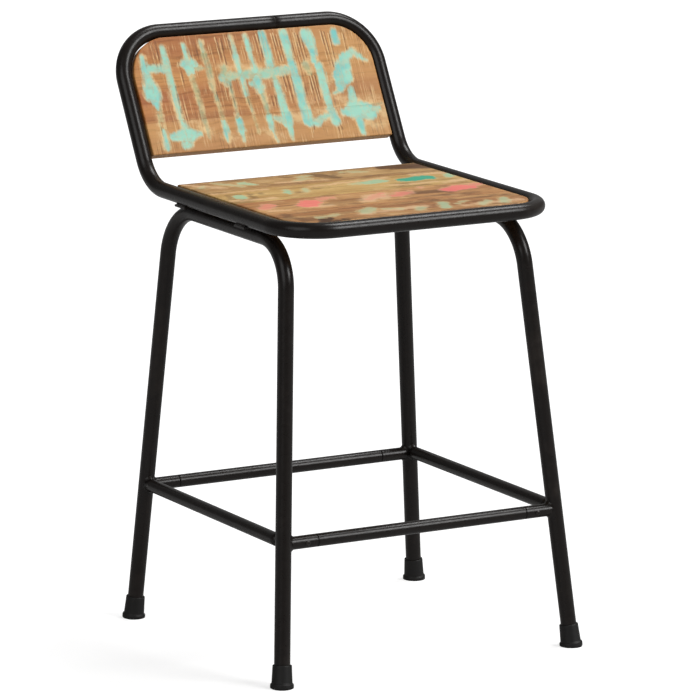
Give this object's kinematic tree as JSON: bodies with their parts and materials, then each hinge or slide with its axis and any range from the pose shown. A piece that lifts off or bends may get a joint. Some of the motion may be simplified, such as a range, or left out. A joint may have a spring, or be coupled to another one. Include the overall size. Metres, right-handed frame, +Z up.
{
  "type": "bar stool",
  "caption": "Counter-height bar stool with a bent black steel tube frame, plank seat and low backrest in worn painted wood, and a footrest ring of stretchers",
  "frame": {"origin": "middle of the bounding box in plan, on the floor under the rubber feet", "axes": "+Z up, -Y towards the front, where the sitter faces, +X to the right seen from the front"},
  "size_m": [0.493, 0.5594, 0.8215],
  "materials": {
    "black_enamel": "semi-gloss black powder coat",
    "seat_wood": "lacquered old planks with worn turquoise and pink paint",
    "backrest_wood": "lacquered old board with worn turquoise paint",
    "foot_rubber": "matte black rubber",
    "dark_screws": "black oxide steel"
  },
  "bodies": {
    "root": {"backrest_lower_board": "backrest_wood", "backrest_upper_board": "backrest_wood", "front_cross_bar": "black_enamel", "front_left_foot": "foot_rubber", "front_left_leg_bolt": "dark_screws", "front_left_leg_insert": "dark_screws", "front_left_seat_screw": "dark_screws", "front_left_socket_screw": "dark_screws", "front_left_stretcher_socket": "black_enamel", "front_right_foot": "foot_rubber", "front_right_leg_bolt": "dark_screws", "front_right_leg_insert": "dark_screws", "front_right_seat_screw": "dark_screws", "front_right_socket_screw": "dark_screws", "front_right_stretcher_socket": "black_enamel", "front_stretcher": "black_enamel", "left_leg_frame": "black_enamel", "left_side_stretcher": "black_enamel", "lower_left_backrest_screw": "dark_screws", "lower_left_backrest_tab": "black_enamel", "lower_right_backrest_screw": "dark_screws", "lower_right_backrest_tab": "black_enamel", "rear_cross_bar": "black_enamel", "rear_left_foot": "foot_rubber", "rear_left_leg_bolt": "dark_screws", "rear_left_leg_insert": "dark_screws", "rear_left_seat_screw": "dark_screws", "rear_left_socket_screw": "dark_screws", "rear_left_stretcher_socket": "black_enamel", "rear_right_foot": "foot_rubber", "rear_right_leg_bolt": "dark_screws", "rear_right_leg_insert": "dark_screws", "rear_right_seat_screw": "dark_screws", "rear_right_socket_screw": "dark_screws", "rear_right_stretcher_socket": "black_enamel", "rear_stretcher": "black_enamel", "right_leg_frame": "black_enamel", "right_side_stretcher": "black_enamel", "seat_back_frame": "black_enamel", "seat_plank_1": "seat_wood", "seat_plank_2": "seat_wood", "seat_plank_3": "seat_wood", "seat_plank_4": "seat_wood", "upper_left_backrest_screw": "dark_screws", "upper_left_backrest_tab": "black_enamel", "upper_right_backrest_screw": "dark_screws", "upper_right_backrest_tab": "black_enamel"}
  },
  "joints": []
}
